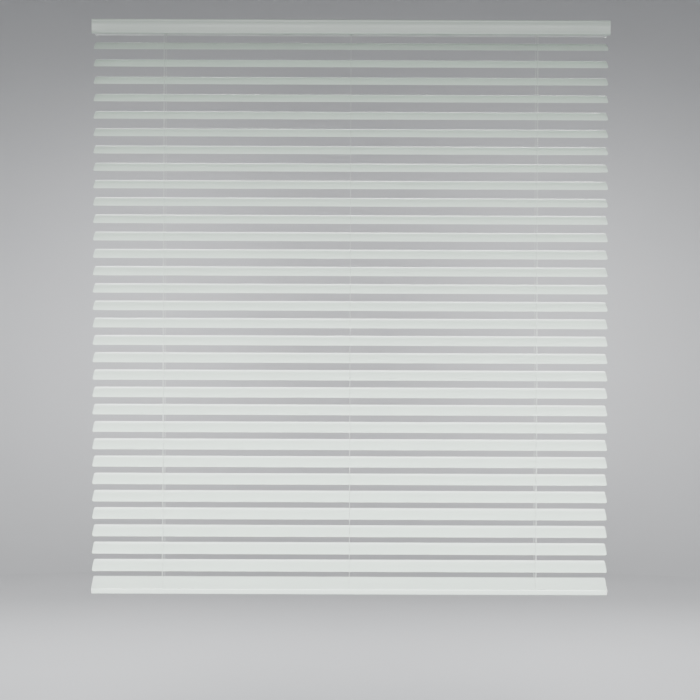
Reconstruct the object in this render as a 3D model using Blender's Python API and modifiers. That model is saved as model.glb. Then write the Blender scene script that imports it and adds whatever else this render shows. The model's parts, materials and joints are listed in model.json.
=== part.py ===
"""A wall-hung venetian blind with crowned 50 mm aluminium slats.

The headrail hangs from three brackets and holds the tilt rod, its drums and a spring motor. Three ladders
carry the slats and the bottom rail. Metres, +Z up, the room on the -Y side. The origin is on the back face of
the centre bracket, where it meets the wall.
"""

import math

import bmesh
import bpy
from mathutils import Matrix, Vector

# ---------------------------------------------------------------- driving dimensions

OVERALL_WIDTH = 1.250          # fascia, end to end
SLAT_LENGTH = 1.243
SLAT_CHORD = 0.050
SLAT_CROWN = 0.0030            # height of the arc above its chord
SLAT_THICKNESS = 0.0003
SLAT_CORNER = 0.004
SLAT_COUNT = 31
SLAT_PITCH = 0.042
FIRST_SLAT_Z = -0.0420
REST_TILT = math.radians(28.0)  # front edge down

AXIS_Y = -0.0345               # plane of the slats' own axes
STATION_X = (-0.450, 0.0, 0.450)
SIDES = ("left", "centre", "right")

CHANNEL_LENGTH = 1.240
CHANNEL_BACK = -0.0050
CHANNEL_FRONT = -0.0630
CHANNEL_BOTTOM = -0.0125
CHANNEL_TOP = 0.0140
CHANNEL_SHEET = 0.0008
CHANNEL_LIP = 0.0065

LADDER_SLOT_NEAR = 0.0080      # the floor's slots, measured from the slats' plane
LADDER_SLOT_FAR = 0.0205
LADDER_SLOT_WIDTH = 0.0050

FASCIA_FRONT = -0.0670
FASCIA_HALF_HEIGHT = 0.0175
FASCIA_SHEET = 0.0013
FASCIA_RETURN = 0.0065

BRACKET_X = (-0.500, 0.0, 0.500)
BRACKET_WIDTH = 0.040
BRACKET_SHEET = 0.0013

ROD_Z = 0.0008
ROD_RADIUS = 0.0034            # across the corners of the hexagon
ROD_LENGTH = 1.234
DRUM_RADIUS = 0.0095
DRUM_FLANGE = 0.0115
DRUM_WIDTH = 0.016

RAIL_LENGTH = 1.246
RAIL_CHORD = 0.0535
RAIL_CROWN = 0.0020
RAIL_HEIGHT = 0.0165           # below the chord
RAIL_WALL = 0.0012
RAIL_CAP = 0.0022
RAIL_DROP = 0.0423             # last slat's axis to the rail's axis

LADDER_CORD_RADIUS = 0.0006
LADDER_OFFSET = 0.0262         # slat axis to ladder cord, along the slat's chord
LADDER_SPREAD = 0.32           # share of its spread that a ladder cord has at the headrail's floor
LIFT_CORD_RADIUS = 0.0007
LIFT_CORD_Y = AXIS_Y + 0.0273
LIFT_CORD_ASIDE = 0.007        # beside its ladder
LOOP_RADIUS = 0.00155
LOOP_WIRE = 0.00045
LOOP_RISE = 0.013              # above its slat's axis
GATHERED_SLATS = 5             # the lowest slats, which ride up with the bottom rail

MOTOR_LEFT = 0.125
MOTOR_RIGHT = 0.215
MOTOR_BACK = -0.0090
MOTOR_FRONT = -0.0300
MOTOR_BOTTOM = -0.0114
MOTOR_TOP = 0.0090
MOTOR_WALL = 0.0012
SPOOL_X = 0.150
SPOOL_Y = -0.0195
SPOOL_RADIUS = 0.0070
SPOOL_FLANGE = 0.0088
SPOOL_BORE = 0.0024
SPOOL_LOW = -0.0098
SPOOL_HIGH = 0.0070
SPOOL_POST = 0.0020
WINDING_WAY = {"left": 1, "right": -1}  # the side of the spool that each lift cord meets, along Y

GAP = 0.0003                   # between pieces that touch
ALONG_X = Vector((1.0, 0.0, 0.0))

# ---------------------------------------------------------------- scene and materials


def clear_scene():
    for obj in list(bpy.context.scene.objects):
        bpy.data.objects.remove(obj, do_unlink=True)


def new_collection(name):
    collection = bpy.data.collections.new(name)
    bpy.context.scene.collection.children.link(collection)
    return collection


def new_material(name, color, roughness, metallic):
    material = bpy.data.materials.new(name)
    material.use_nodes = True
    shader = material.node_tree.nodes["Principled BSDF"]
    shader.inputs["Base Color"].default_value = (*color, 1.0)
    shader.inputs["Roughness"].default_value = roughness
    shader.inputs["Metallic"].default_value = metallic
    return material


clear_scene()
PARTS = new_collection("venetian_blind")
CUTTERS = new_collection("cutters")
SLAT_PAINT = new_material("slat_paint", (0.66, 0.70, 0.67), 0.38, 0.0)
RAIL_PAINT = new_material("rail_paint", (0.66, 0.70, 0.67), 0.35, 0.0)
HEADRAIL_PAINT = new_material("headrail_paint", (0.60, 0.64, 0.61), 0.40, 0.0)
CAP_PLASTIC = new_material("cap_plastic", (0.64, 0.68, 0.65), 0.50, 0.0)
ZINC_STEEL = new_material("zinc_steel", (0.62, 0.63, 0.64), 0.32, 0.9)
ROD_STEEL = new_material("rod_steel", (0.55, 0.56, 0.58), 0.30, 1.0)
DRUM_PLASTIC = new_material("drum_plastic", (0.80, 0.80, 0.78), 0.45, 0.0)
MOTOR_PLASTIC = new_material("motor_plastic", (0.72, 0.73, 0.72), 0.50, 0.0)
CORD_FIBRE = new_material("cord_fibre", (0.70, 0.73, 0.70), 0.85, 0.0)

# ---------------------------------------------------------------- shaping tools


def add_object(name, mesh, material):
    obj = bpy.data.objects.new(name, mesh)
    obj.data.materials.append(material)
    PARTS.objects.link(obj)
    return obj


def mesh_object(name, bm, material):
    mesh = bpy.data.meshes.new(name)
    bm.to_mesh(mesh)
    bm.free()
    return add_object(name, mesh, material)


def box_object(name, low, high, material):
    """A box between two corners."""
    size = Vector(high) - Vector(low)
    middle = (Vector(high) + Vector(low)) / 2
    bm = bmesh.new()
    bmesh.ops.create_cube(bm, size=1.0, matrix=Matrix.Translation(middle) @ Matrix.Diagonal((*size, 1.0)))
    return mesh_object(name, bm, material)


def cylinder_object(name, radius, length, middle, axis, material, segments=24):
    """A cylinder, or a prism when it has few segments, about a line through its middle."""
    turn = Vector((0.0, 0.0, 1.0)).rotation_difference(Vector(axis)).to_matrix().to_4x4()
    bm = bmesh.new()
    bmesh.ops.create_cone(
        bm, cap_ends=True, segments=segments, radius1=radius, radius2=radius, depth=length,
        matrix=Matrix.Translation(middle) @ turn,
    )
    return mesh_object(name, bm, material)


def set_aside(obj):
    """Keeps an object as a guide for a boolean, out of the model."""
    PARTS.objects.unlink(obj)
    CUTTERS.objects.link(obj)
    obj.hide_render = True
    obj.display_type = "WIRE"


def combine(target, other, operation):
    set_aside(other)
    modifier = target.modifiers.new(other.name, "BOOLEAN")
    modifier.object = other
    modifier.operation = operation
    modifier.solver = "EXACT"


def rounded_path(points, radius, closed=False, steps=3):
    """The points (y, z) with each corner turned into an arc of the given radius."""
    path = []
    count = len(points)
    for i, point in enumerate(points):
        here = Vector(point)
        before = Vector(points[i - 1])
        after = Vector(points[(i + 1) % count])
        if not closed and i in (0, count - 1):
            path.append(here)
            continue
        back = (before - here).normalized()
        ahead = (after - here).normalized()
        half = back.angle(ahead) / 2
        if half > math.radians(84):
            path.append(here)
            continue
        reach = radius / math.tan(half)
        centre = here + (back + ahead).normalized() * radius / math.sin(half)
        start = here + back * reach - centre
        sweep = start.angle_signed(here + ahead * reach - centre)
        for k in range(steps + 1):
            turn = Matrix.Rotation(-sweep * k / steps, 2)
            path.append(centre + turn @ start)
    return path


def arc_height(across, chord, crown):
    """Height above its chord of a shallow arc, at a distance from its middle."""
    radius = (chord * chord / 4 + crown * crown) / (2 * crown)
    return math.sqrt(radius * radius - across * across) - (radius - crown)


def arc_points(chord, crown, steps):
    spots = [-chord / 2 + chord * i / steps for i in range(steps + 1)]
    return [(y, arc_height(y, chord, crown)) for y in spots]


def sheet_along_x(path, length, closed=False):
    """A surface through the path (y, z), drawn out along X. Its normals are X crossed with the path's way."""
    bm = bmesh.new()
    corners = [bm.verts.new((-length / 2, y, z)) for y, z in path]
    edges = [bm.edges.new(pair) for pair in zip(corners, corners[1:])]
    if closed:
        edges.append(bm.edges.new((corners[-1], corners[0])))
    drawn = bmesh.ops.extrude_edge_only(bm, edges=edges)["geom"]
    moved = [item for item in drawn if isinstance(item, bmesh.types.BMVert)]
    bmesh.ops.translate(bm, verts=moved, vec=(length, 0.0, 0.0))
    bmesh.ops.recalc_face_normals(bm, faces=bm.faces)
    first_step = Vector((0.0, path[1][0] - path[0][0], path[1][1] - path[0][1]))
    first_face = edges[0].link_faces[0]
    if first_face.normal.dot(ALONG_X.cross(first_step)) < 0:
        bmesh.ops.reverse_faces(bm, faces=bm.faces)
    return bm


def thicken(obj, thickness):
    """Gives a surface its thickness, behind its face."""
    solid = obj.modifiers.new("thickness", "SOLIDIFY")
    solid.thickness = thickness
    solid.offset = -1.0
    solid.use_even_offset = True


def sheet_object(name, path, length, thickness, material, closed=False):
    obj = mesh_object(name, sheet_along_x(path, length, closed), material)
    thicken(obj, thickness)
    return obj


def turned_object(name, profile, material, steps=24):
    """A ring turned about its own Z axis from a closed outline (radius, z), given clockwise."""
    bm = bmesh.new()
    corners = [bm.verts.new((radius, 0.0, z)) for radius, z in profile]
    for i, corner in enumerate(corners):
        bm.edges.new((corner, corners[(i + 1) % len(corners)]))
    obj = mesh_object(name, bm, material)
    screw = obj.modifiers.new("turn", "SCREW")
    screw.axis = "Z"
    screw.angle = 2 * math.pi
    screw.steps = steps
    screw.render_steps = steps
    screw.use_merge_vertices = True
    screw.merge_threshold = 0.00001
    screw.use_smooth_shade = True
    return obj


def cord_object(name, points, radius):
    curve = bpy.data.curves.new(name, "CURVE")
    curve.dimensions = "3D"
    curve.bevel_depth = radius
    curve.bevel_resolution = 2
    curve.use_fill_caps = True
    spline = curve.splines.new("POLY")
    spline.points.add(len(points) - 1)
    for spot, point in zip(spline.points, points):
        spot.co = (*point, 1.0)
    return add_object(name, curve, CORD_FIBRE)


def slat_axis_z(number):
    """Height of a slat's axis; slat 1 is the top one."""
    return FIRST_SLAT_Z - SLAT_PITCH * (number - 1)


RAIL_Z = slat_axis_z(SLAT_COUNT) - RAIL_DROP

# ---------------------------------------------------------------- headrail and what holds it


def make_headrail():
    path = rounded_path(
        [
            (CHANNEL_BACK - CHANNEL_LIP, CHANNEL_TOP),
            (CHANNEL_BACK, CHANNEL_TOP),
            (CHANNEL_BACK, CHANNEL_BOTTOM),
            (CHANNEL_FRONT, CHANNEL_BOTTOM),
            (CHANNEL_FRONT, CHANNEL_TOP),
            (CHANNEL_FRONT + CHANNEL_LIP, CHANNEL_TOP),
        ],
        radius=0.0015,
    )
    headrail = sheet_object("headrail", path, CHANNEL_LENGTH, CHANNEL_SHEET, HEADRAIL_PAINT)
    for side, x in zip(SIDES, STATION_X):
        for end, way in (("front", -1), ("back", 1)):
            low_y, high_y = sorted((AXIS_Y + way * LADDER_SLOT_NEAR, AXIS_Y + way * LADDER_SLOT_FAR))
            slot = box_object(
                f"cutter_slot_{end}_{side}",
                (x - LADDER_SLOT_WIDTH / 2, low_y, CHANNEL_BOTTOM - 0.002),
                (x + LADDER_SLOT_WIDTH / 2, high_y, CHANNEL_BOTTOM + 0.002),
                HEADRAIL_PAINT,
            )
            combine(headrail, slot, "DIFFERENCE")
    for side in ("left", "right"):
        x = lift_cord_x(side)
        hole = box_object(
            f"cutter_lift_{side}",
            (x - 0.0016, LIFT_CORD_Y - 0.0014, CHANNEL_BOTTOM - 0.002),
            (x + 0.0016, LIFT_CORD_Y + 0.0011, CHANNEL_BOTTOM + 0.002),
            HEADRAIL_PAINT,
        )
        combine(headrail, hole, "DIFFERENCE")


def make_fascia():
    back = FASCIA_FRONT + FASCIA_RETURN
    path = rounded_path(
        [
            (back, -FASCIA_HALF_HEIGHT),
            (FASCIA_FRONT, -FASCIA_HALF_HEIGHT),
            (FASCIA_FRONT, FASCIA_HALF_HEIGHT),
            (back, FASCIA_HALF_HEIGHT),
        ],
        radius=0.0025,
        steps=4,
    )
    sheet_object("fascia", path, OVERALL_WIDTH, FASCIA_SHEET, HEADRAIL_PAINT)


def make_headrail_cap(side, way):
    """An end plate with a pocketed block that fills the channel's end and carries the tilt rod."""
    inner = CHANNEL_LENGTH / 2
    wall = 0.0016

    def span(near, far):
        return sorted((way * near, way * far))

    plate_x = span(inner + GAP, inner + 0.0027)
    cap = box_object(
        f"headrail_end_cap_{side}",
        (plate_x[0], CHANNEL_FRONT - 0.0008, CHANNEL_BOTTOM - 0.0008),
        (plate_x[1], CHANNEL_BACK + 0.0008, CHANNEL_TOP + 0.0008),
        CAP_PLASTIC,
    )
    low_y = CHANNEL_FRONT + CHANNEL_SHEET + GAP
    high_y = CHANNEL_BACK - CHANNEL_SHEET - GAP
    low_z = CHANNEL_BOTTOM + CHANNEL_SHEET + GAP
    high_z = CHANNEL_TOP - CHANNEL_SHEET - GAP
    block_x = span(inner - 0.010, inner + 0.0010)
    block = box_object(f"block_{side}", (block_x[0], low_y, low_z), (block_x[1], high_y, high_z), CAP_PLASTIC)
    combine(cap, block, "UNION")
    pocket_x = span(inner - 0.011, inner - 0.001)
    pocket = box_object(
        f"cutter_pocket_{side}",
        (pocket_x[0], low_y + wall, low_z + wall),
        (pocket_x[1], high_y - wall, high_z - wall),
        CAP_PLASTIC,
    )
    combine(cap, pocket, "DIFFERENCE")
    centre = Vector((way * (inner - 0.0045), AXIS_Y, ROD_Z))
    boss = cylinder_object(f"boss_{side}", 0.0062, 0.0091, centre, ALONG_X, CAP_PLASTIC)
    combine(cap, boss, "UNION")
    bore_centre = Vector((way * (inner - 0.0060), AXIS_Y, ROD_Z))
    bore = cylinder_object(f"cutter_bore_{side}", ROD_RADIUS + 0.0004, 0.0100, bore_centre, ALONG_X, CAP_PLASTIC)
    combine(cap, bore, "DIFFERENCE")


def make_bracket(side, x):
    """A bent strip: screwed flat to the wall, hooked over the headrail's front, with a catch under its rear lip."""
    top = CHANNEL_TOP + 0.0018
    hook = CHANNEL_FRONT - 0.0017
    path = rounded_path(
        [(hook, 0.0060), (hook, top), (0.0, top), (0.0, -0.0115)],
        radius=0.0020,
    )
    bracket = sheet_object(f"bracket_{side}", path, BRACKET_WIDTH, BRACKET_SHEET, ZINC_STEEL)
    bracket.location.x = x
    under_lip = CHANNEL_TOP - CHANNEL_SHEET - GAP
    riser_y = CHANNEL_BACK - CHANNEL_LIP - 0.0015
    half = BRACKET_WIDTH / 2 - 0.006
    riser = box_object(
        f"riser_{side}",
        (x - half, riser_y - BRACKET_SHEET, under_lip - BRACKET_SHEET),
        (x + half, riser_y, top - BRACKET_SHEET / 2),
        ZINC_STEEL,
    )
    combine(bracket, riser, "UNION")
    tongue = box_object(
        f"tongue_{side}",
        (x - half + 0.001, riser_y - BRACKET_SHEET / 2, under_lip - BRACKET_SHEET),
        (x + half - 0.001, CHANNEL_BACK - 0.0025, under_lip),
        ZINC_STEEL,
    )
    combine(bracket, tongue, "UNION")
    for index, across in enumerate((-0.011, 0.011)):
        hole = cylinder_object(
            f"cutter_screw_{side}_{index}", 0.0022, 0.006, Vector((x + across, 0.0, -0.004)),
            (0.0, 1.0, 0.0), ZINC_STEEL,
        )
        combine(bracket, hole, "DIFFERENCE")


# ---------------------------------------------------------------- tilt mechanism


def make_tilt_rod():
    rod = cylinder_object("tilt_rod", ROD_RADIUS, ROD_LENGTH, Vector((0.0, 0.0, 0.0)), ALONG_X, ROD_STEEL, 6)
    rod.location = (0.0, AXIS_Y, ROD_Z)


def make_drum(side, x):
    half = DRUM_WIDTH / 2
    rim = 0.0015
    bore = ROD_RADIUS + GAP
    profile = [
        (DRUM_FLANGE, half),
        (DRUM_FLANGE, half - rim),
        (DRUM_RADIUS, half - 2 * rim),
        (DRUM_RADIUS, -half + 2 * rim),
        (DRUM_FLANGE, -half + rim),
        (DRUM_FLANGE, -half),
        (bore, -half),
        (bore, half),
    ]
    drum = turned_object(f"tilt_drum_{side}", profile, DRUM_PLASTIC)
    drum.rotation_euler.y = math.pi / 2
    drum.location = (x, AXIS_Y, ROD_Z)


def make_ladder_cord(end, side, x):
    """One upright of a ladder, from its drum to the edge of every slat and down to the bottom rail."""
    way = -1 if end == "front" else 1
    reach = way * LADDER_OFFSET * math.cos(REST_TILT)
    rise = way * LADDER_OFFSET * math.sin(REST_TILT)
    drum_y = AXIS_Y + way * (DRUM_RADIUS + LADDER_CORD_RADIUS + GAP)
    floor_y = drum_y + (AXIS_Y + reach - drum_y) * LADDER_SPREAD
    points = [
        (x, drum_y, ROD_Z),
        (x, floor_y, CHANNEL_BOTTOM),
        (x, AXIS_Y + reach, FIRST_SLAT_Z + rise + 0.002),
        (x, AXIS_Y + reach, (FIRST_SLAT_Z + RAIL_Z) / 2),
        (x, AXIS_Y + reach, RAIL_Z + rise + 0.0014),
    ]
    cord_object(f"ladder_{end}_{side}", points, LADDER_CORD_RADIUS)


# ---------------------------------------------------------------- slats and bottom rail


def make_slats():
    bm = sheet_along_x(arc_points(SLAT_CHORD, SLAT_CROWN, 10), SLAT_LENGTH)
    slat = mesh_object("slat_01", bm, SLAT_PAINT)
    corners = slat.vertex_groups.new(name="corners")
    for vertex in slat.data.vertices:
        if abs(vertex.co.y) > SLAT_CHORD / 2 - 0.0001:
            corners.add([vertex.index], 1.0, "ADD")
    bevel = slat.modifiers.new("corners", "BEVEL")
    bevel.affect = "VERTICES"
    bevel.limit_method = "VGROUP"
    bevel.vertex_group = corners.name
    bevel.width = SLAT_CORNER
    bevel.segments = 3
    thicken(slat, SLAT_THICKNESS)
    slat.data.shade_smooth()
    slat.rotation_euler.x = REST_TILT
    slat.location = (0.0, AXIS_Y, slat_axis_z(1))
    for number in range(2, SLAT_COUNT + 1):
        copy = slat.copy()
        copy.name = f"slat_{number:02d}"
        copy.location.z = slat_axis_z(number)
        PARTS.objects.link(copy)


def rail_outline():
    """The bottom rail's section: a crowned top, rounded edges and a narrower flat underside."""
    crown = arc_points(RAIL_CHORD, RAIL_CROWN, 8)
    foot = 0.0030
    corners = [
        *crown,
        (RAIL_CHORD / 2, -RAIL_HEIGHT + foot),
        (RAIL_CHORD / 2 - foot, -RAIL_HEIGHT),
        (-RAIL_CHORD / 2 + foot, -RAIL_HEIGHT),
        (-RAIL_CHORD / 2, -RAIL_HEIGHT + foot),
    ]
    return rounded_path(corners, radius=0.0016, closed=True)


def place_on_rail_axis(obj):
    obj.rotation_euler.x = REST_TILT
    obj.location = (0.0, AXIS_Y, RAIL_Z)


def make_bottom_rail():
    tube = RAIL_LENGTH - 2 * (RAIL_CAP + GAP)
    rail = sheet_object("bottom_rail", rail_outline(), tube, RAIL_WALL, RAIL_PAINT, closed=True)
    place_on_rail_axis(rail)


def make_rail_cap(side, way):
    """A plate of the rail's own outline, with a block that plugs into its open end."""
    bm = bmesh.new()
    outer = way * RAIL_LENGTH / 2
    corners = [bm.verts.new((outer, y, z)) for y, z in rail_outline()]
    face = bm.faces.new(corners)
    drawn = bmesh.ops.extrude_face_region(bm, geom=[face])["geom"]
    moved = [item for item in drawn if isinstance(item, bmesh.types.BMVert)]
    bmesh.ops.translate(bm, verts=moved, vec=(-way * RAIL_CAP, 0.0, 0.0))
    bmesh.ops.recalc_face_normals(bm, faces=bm.faces)
    cap = mesh_object(f"bottom_rail_cap_{side}", bm, CAP_PLASTIC)
    inset = RAIL_WALL + 0.0008
    near, far = sorted((outer - way * RAIL_CAP / 2, outer - way * (RAIL_CAP + 0.012)))
    plug = box_object(
        f"plug_{side}",
        (near, -RAIL_CHORD / 2 + inset + 0.002, -RAIL_HEIGHT + inset + 0.002),
        (far, RAIL_CHORD / 2 - inset - 0.002, -inset),
        CAP_PLASTIC,
    )
    place_on_rail_axis(plug)
    combine(cap, plug, "UNION")
    place_on_rail_axis(cap)


# ---------------------------------------------------------------- lift mechanism


def lift_cord_x(side):
    return STATION_X[0] - LIFT_CORD_ASIDE if side == "left" else STATION_X[2] + LIFT_CORD_ASIDE


def make_motor_case():
    """An open-topped box for the spring and the spool, with a post for the spool and a cord hole in each end."""
    low = Vector((MOTOR_LEFT, MOTOR_FRONT, MOTOR_BOTTOM))
    high = Vector((MOTOR_RIGHT, MOTOR_BACK, MOTOR_TOP))
    wall = Vector((MOTOR_WALL, MOTOR_WALL, MOTOR_WALL))
    case = box_object("spring_motor_case", low, high, MOTOR_PLASTIC)
    room_high = high - wall
    room_high.z = MOTOR_TOP + 0.001
    combine(case, box_object("cutter_motor_room", low + wall, room_high, MOTOR_PLASTIC), "DIFFERENCE")
    post_top = SPOOL_HIGH + 0.0015
    post_low = MOTOR_BOTTOM + MOTOR_WALL / 2
    post_middle = Vector((SPOOL_X, SPOOL_Y, (post_top + post_low) / 2))
    post = cylinder_object("spool_post", SPOOL_POST, post_top - post_low, post_middle, (0.0, 0.0, 1.0), MOTOR_PLASTIC)
    combine(case, post, "UNION")
    for name, x, y in (
        ("cutter_cord_left", MOTOR_LEFT, cord_on_spool_y("left")),
        ("cutter_cord_right", MOTOR_RIGHT, cord_on_spool_y("right")),
    ):
        hole = cylinder_object(name, 0.0012, 0.006, Vector((x, y, ROD_Z)), ALONG_X, MOTOR_PLASTIC, 16)
        combine(case, hole, "DIFFERENCE")


def cord_on_spool_y(side):
    return SPOOL_Y + WINDING_WAY[side] * (SPOOL_RADIUS + LIFT_CORD_RADIUS + GAP)


def make_spool():
    flange = 0.0012
    profile = [
        (SPOOL_FLANGE, SPOOL_HIGH),
        (SPOOL_FLANGE, SPOOL_HIGH - flange),
        (SPOOL_RADIUS, SPOOL_HIGH - 2 * flange),
        (SPOOL_RADIUS, SPOOL_LOW + 2 * flange),
        (SPOOL_FLANGE, SPOOL_LOW + flange),
        (SPOOL_FLANGE, SPOOL_LOW),
        (SPOOL_BORE, SPOOL_LOW),
        (SPOOL_BORE, SPOOL_HIGH),
    ]
    spool = turned_object("cord_spool", profile, DRUM_PLASTIC)
    spool.location = (SPOOL_X, SPOOL_Y, 0.0)


def make_lift_cord(side):
    """From the rail's rear wall up behind the slats, over the headrail's floor and along it to the spool."""
    way = -1 if side == "left" else 1
    x = lift_cord_x(side)
    spool_y = cord_on_spool_y(side)
    wall_x = MOTOR_LEFT if side == "left" else MOTOR_RIGHT
    turn_y = -0.0115
    points = [
        (x, LIFT_CORD_Y, RAIL_Z + 0.0076),
        (x, LIFT_CORD_Y, (FIRST_SLAT_Z + RAIL_Z) / 2),
        (x, LIFT_CORD_Y, CHANNEL_BOTTOM - 0.004),
        (x, LIFT_CORD_Y, CHANNEL_BOTTOM + 0.005),
        (x - way * 0.001, LIFT_CORD_Y - 0.0012, ROD_Z - 0.0025),
        (x - way * 0.005, LIFT_CORD_Y - 0.0035, ROD_Z),
        (x - way * 0.012, turn_y, ROD_Z),
        (x - way * 0.100, turn_y, ROD_Z),
        (wall_x + way * 0.050, spool_y, ROD_Z),
        (wall_x + way * 0.004, spool_y, ROD_Z),
        (SPOOL_X, spool_y, ROD_Z),
    ]
    cord_object(f"lift_cord_{side}", points, LIFT_CORD_RADIUS)


def make_cord_loops():
    """A loop of the left ladder's braid at each gathered slat, which keeps the lift cord in place."""
    for number in range(SLAT_COUNT - GATHERED_SLATS + 1, SLAT_COUNT + 1):
        bpy.ops.mesh.primitive_torus_add(
            major_radius=LOOP_RADIUS, minor_radius=LOOP_WIRE, major_segments=12, minor_segments=6,
            location=(lift_cord_x("left"), LIFT_CORD_Y, slat_axis_z(number) + LOOP_RISE),
        )
        loop = bpy.context.object
        loop.name = f"cord_loop_{number}"
        loop.data.materials.append(CORD_FIBRE)
        for collection in list(loop.users_collection):
            collection.objects.unlink(loop)
        PARTS.objects.link(loop)


# ---------------------------------------------------------------- assembly


def main():
    make_headrail()
    make_fascia()
    for side, way in (("left", -1), ("right", 1)):
        make_headrail_cap(side, way)
        make_rail_cap(side, way)
        make_lift_cord(side)
    for side, x in zip(SIDES, BRACKET_X):
        make_bracket(side, x)
    make_tilt_rod()
    for side, x in zip(SIDES, STATION_X):
        make_drum(side, x)
        make_ladder_cord("front", side, x)
        make_ladder_cord("back", side, x)
    make_slats()
    make_bottom_rail()
    make_motor_case()
    make_spool()
    make_cord_loops()


main()
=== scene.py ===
"""Looks for a wall-hung venetian blind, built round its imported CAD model.

Every CAD part is replaced by a finer mesh of the same shape and size. The pieces too small for the CAD
model (rungs, loops, windings, cradles, clips, screws, the spring) are added here. Metres, +Z up; the room
is on the -Y side.
"""

import json
import math
import random

import bmesh
import bpy
from mathutils import Matrix, Vector, noise


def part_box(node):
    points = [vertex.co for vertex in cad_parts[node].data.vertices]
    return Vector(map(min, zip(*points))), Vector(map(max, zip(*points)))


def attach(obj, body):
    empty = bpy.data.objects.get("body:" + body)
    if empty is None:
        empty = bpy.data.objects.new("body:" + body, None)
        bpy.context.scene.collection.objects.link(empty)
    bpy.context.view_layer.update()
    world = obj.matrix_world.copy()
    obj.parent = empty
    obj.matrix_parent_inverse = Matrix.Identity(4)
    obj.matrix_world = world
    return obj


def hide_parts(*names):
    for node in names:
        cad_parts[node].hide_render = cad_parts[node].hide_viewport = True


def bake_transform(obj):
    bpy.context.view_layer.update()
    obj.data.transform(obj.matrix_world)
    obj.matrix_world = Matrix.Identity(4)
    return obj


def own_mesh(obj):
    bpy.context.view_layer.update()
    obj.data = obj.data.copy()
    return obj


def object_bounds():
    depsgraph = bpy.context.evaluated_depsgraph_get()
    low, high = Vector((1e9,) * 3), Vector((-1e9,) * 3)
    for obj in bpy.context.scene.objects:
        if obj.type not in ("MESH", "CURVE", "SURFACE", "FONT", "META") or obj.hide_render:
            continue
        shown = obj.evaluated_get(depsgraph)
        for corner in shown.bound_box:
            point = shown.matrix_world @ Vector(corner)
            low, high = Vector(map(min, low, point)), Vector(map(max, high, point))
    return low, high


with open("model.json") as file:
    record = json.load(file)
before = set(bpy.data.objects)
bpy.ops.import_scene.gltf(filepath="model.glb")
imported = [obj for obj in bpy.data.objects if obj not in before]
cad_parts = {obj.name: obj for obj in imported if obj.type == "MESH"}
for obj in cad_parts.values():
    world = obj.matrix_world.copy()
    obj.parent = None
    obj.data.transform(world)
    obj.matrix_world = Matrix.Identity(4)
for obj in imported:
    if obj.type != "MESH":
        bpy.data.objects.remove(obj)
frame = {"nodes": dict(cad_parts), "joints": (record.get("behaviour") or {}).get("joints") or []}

CAD_LOW, CAD_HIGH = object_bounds()

# ---------------------------------------------------------------- sizes and places

JOINTS = {joint["name"]: joint for joint in frame["joints"]}
SIDES = ("left", "centre", "right")
ENDS = {"front": -1, "back": 1}

REST_TILT = math.radians(28.0)          # front edge down
SLAT_COUNT = sum(name.startswith("slat_") for name in frame["nodes"])
SLAT_CHORD = 0.050
SLAT_CROWN = 0.0030
SLAT_THICKNESS = 0.0003
SLAT_CORNER = 0.004
GATHERED_SLATS = 5                      # the lowest slats, which ride up with the bottom rail

RAIL_CHORD = 0.0535
RAIL_CROWN = 0.0020
RAIL_HEIGHT = 0.0165
RAIL_WALL = 0.0012
RAIL_FOOT = 0.0030
FASCIA_SHEET = 0.0013
FASCIA_CORNER = 0.0025

LADDER_RADIUS = 0.00045
LADDER_OFFSET = 0.0262                  # slat axis to ladder cord, along the chord
RUNG_RADIUS = 0.00028
LIFT_RADIUS = 0.00050
LIFT_CAD_RADIUS = 0.0007                # the CAD model's lift cords are stouter
LIFT_BEHIND = 0.0273                    # slat axis to lift cord, towards the wall


def slat_name(number):
    return f"slat_{number:02d}"


def slat_axis(number):
    """The point on a slat's axis at the middle of the blind; slat 1 is the top one."""
    return Vector(JOINTS[slat_name(number) + "_turn"]["pos_m"])


FIRST_SLAT = slat_axis(1)
AXIS_Y = FIRST_SLAT.y
RAIL_AXIS = Vector(JOINTS["bottom_rail_turn"]["pos_m"])
ROD_AXIS = Vector(JOINTS["tilt"]["pos_m"])
GATHER_TOP = slat_axis(SLAT_COUNT - GATHERED_SLATS).z    # below this the cords fold up as the rail rises

CHANNEL_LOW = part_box("headrail")[0]
CHANNEL_SHEET = 0.0008
SLAT_LOW, SLAT_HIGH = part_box(slat_name(1))
SLAT_LENGTH = SLAT_HIGH.x - SLAT_LOW.x
STATION_X = [sum(corner.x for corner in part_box(f"ladder_front_{side}")) / 2 for side in SIDES]
LIFT_X = {
    "left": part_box("lift_cord_left")[0].x + LIFT_CAD_RADIUS,
    "right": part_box("lift_cord_right")[1].x - LIFT_CAD_RADIUS,
}
LIFT_Y = AXIS_Y + LIFT_BEHIND
SPOOL_LOW, SPOOL_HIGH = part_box("cord_spool")
SPOOL_X = (SPOOL_LOW.x + SPOOL_HIGH.x) / 2
SPOOL_Y = (SPOOL_LOW.y + SPOOL_HIGH.y) / 2
MOTOR_LOW, MOTOR_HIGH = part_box("spring_motor_case")
UP = Vector((0.0, 0.0, 1.0))

# ---------------------------------------------------------------- camera and lights

CAMERA_DISTANCE = 4.367                 # in front of the slats' axes
CAMERA_HEIGHT = -0.7786
CAMERA_LENS = 92.55
CAMERA_SENSOR = 36.0
CAMERA_ROLL = math.radians(0.2)
WORLD_COLOR = (0.93, 0.96, 1.0, 1.0)
WORLD_STRENGTH = 0.12
DAYLIGHT_COLOR = (0.98, 0.99, 1.0)


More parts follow.
